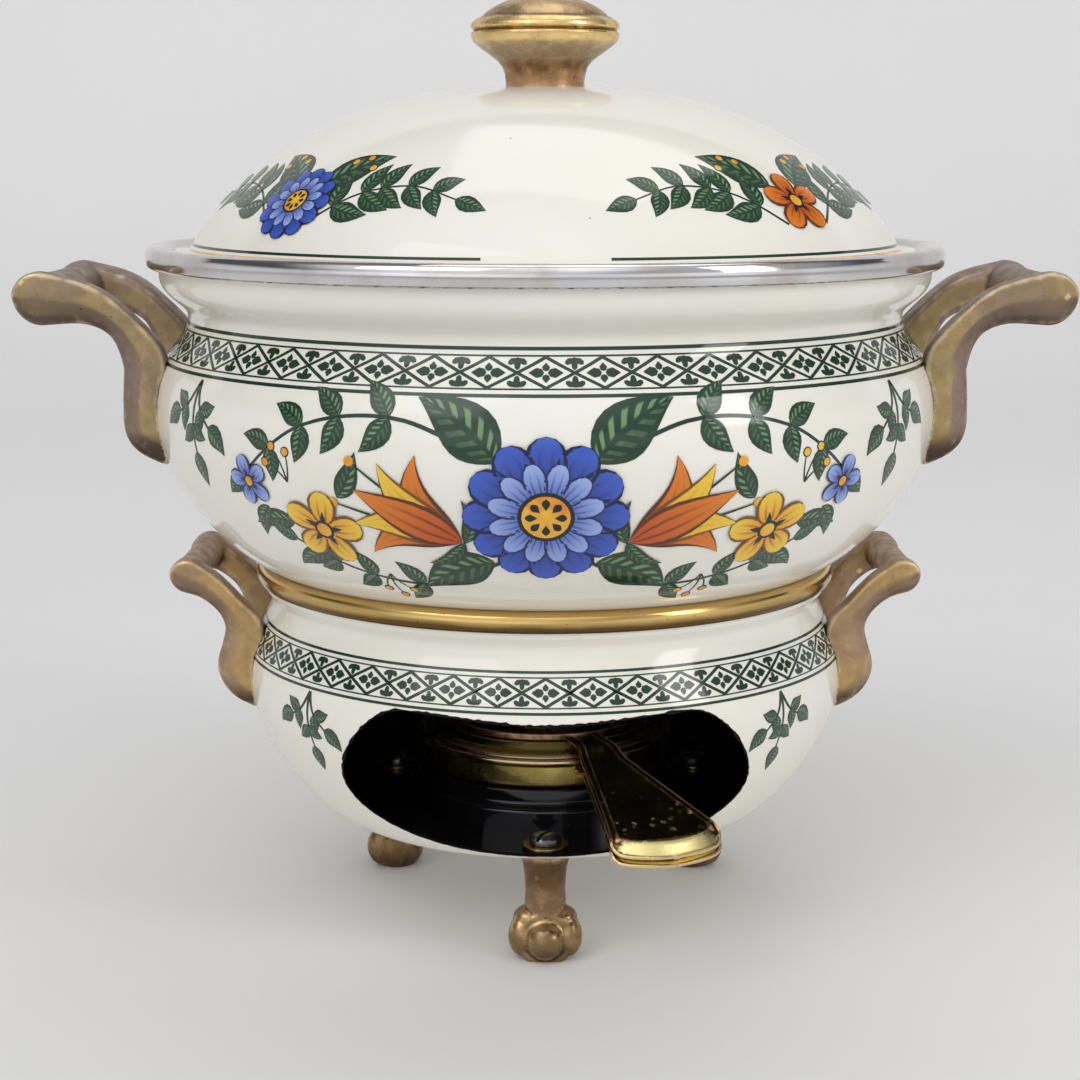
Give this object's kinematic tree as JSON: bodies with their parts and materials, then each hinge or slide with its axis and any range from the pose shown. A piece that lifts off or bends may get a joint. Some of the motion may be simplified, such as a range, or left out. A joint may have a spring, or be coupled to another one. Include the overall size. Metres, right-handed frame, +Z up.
{
  "type": "chafing dish",
  "caption": "Enamelled chafing dish: lidded, bellied pot with loop handles on a bowl-shaped stand with claw feet, whose front opening takes a spirit burner with a turning regulator.",
  "frame": {"origin": "on the table under the middle of the dish, at the height of the feet's undersides", "axes": "+Z up; -Y is the front, where the stand's opening and the burner's handles are; the loop handles lie along X"},
  "size_m": [0.3202, 0.248, 0.2895],
  "materials": {
    "cream_enamel": "glossy cream-white enamel on drawn steel, with a painted border and flowers",
    "black_enamel": "glossy black enamel",
    "polished_steel": "polished stainless steel",
    "polished_brass": "polished brass, lightly lacquered",
    "burner_brass": "stamped brass, dulled by heat",
    "aged_brass": "cast brass with a brown patina, worn bright on the edges",
    "screw_steel": "dull plated steel",
    "fibre": "matted fibre",
    "wire_gauze": "woven wire"
  },
  "bodies": {
    "stand": {"foot_front": "aged_brass", "foot_back_right": "aged_brass", "foot_back_left": "aged_brass", "foot_washer_front": "burner_brass", "foot_washer_back_right": "burner_brass", "foot_washer_back_left": "burner_brass", "foot_screw_front": "screw_steel", "foot_screw_back_right": "screw_steel", "foot_screw_back_left": "screw_steel", "stand_bowl": "cream_enamel", "stand_rim_ring": "polished_brass", "stand_handle_left": "aged_brass", "stand_handle_right": "aged_brass", "stand_handle_screw_left_front": "screw_steel", "stand_handle_screw_left_back": "screw_steel", "stand_handle_screw_right_front": "screw_steel", "stand_handle_screw_right_back": "screw_steel", "burner_seat": "black_enamel"},
    "burner": {"burner_pan": "burner_brass", "burner_pan_handle": "burner_brass", "burner_wad": "fibre", "burner_gauze": "wire_gauze", "burner_cover": "burner_brass"},
    "regulator": {"burner_regulator": "burner_brass"},
    "pot": {"pot_bowl": "cream_enamel", "pot_rim_ring": "polished_steel", "pot_handle_left": "aged_brass", "pot_handle_right": "aged_brass", "pot_handle_screw_left_front": "screw_steel", "pot_handle_screw_left_back": "screw_steel", "pot_handle_screw_right_front": "screw_steel", "pot_handle_screw_right_back": "screw_steel"},
    "lid": {"lid_shell": "cream_enamel", "lid_knob": "aged_brass", "lid_knob_washer": "screw_steel", "lid_knob_screw": "screw_steel"}
  },
  "joints": [
    {"name": "pot_lift", "type": "slide", "parent": "stand", "child": "pot", "axis": [0, 0, 1], "range_m": [0, 0.09]},
    {"name": "lid_lift", "type": "slide", "parent": "pot", "child": "lid", "axis": [0, 0, 1], "range_m": [0, 0.09]},
    {"name": "burner_pull", "type": "slide", "parent": "stand", "child": "burner", "axis": [0, -1, 0], "range_m": [0, 0.16]},
    {"name": "regulator_turn", "type": "hinge", "parent": "burner", "child": "regulator", "pos_m": [0, 0, 0.06], "axis": [0, 0, -1], "range_deg": [0, 30]}
  ]
}
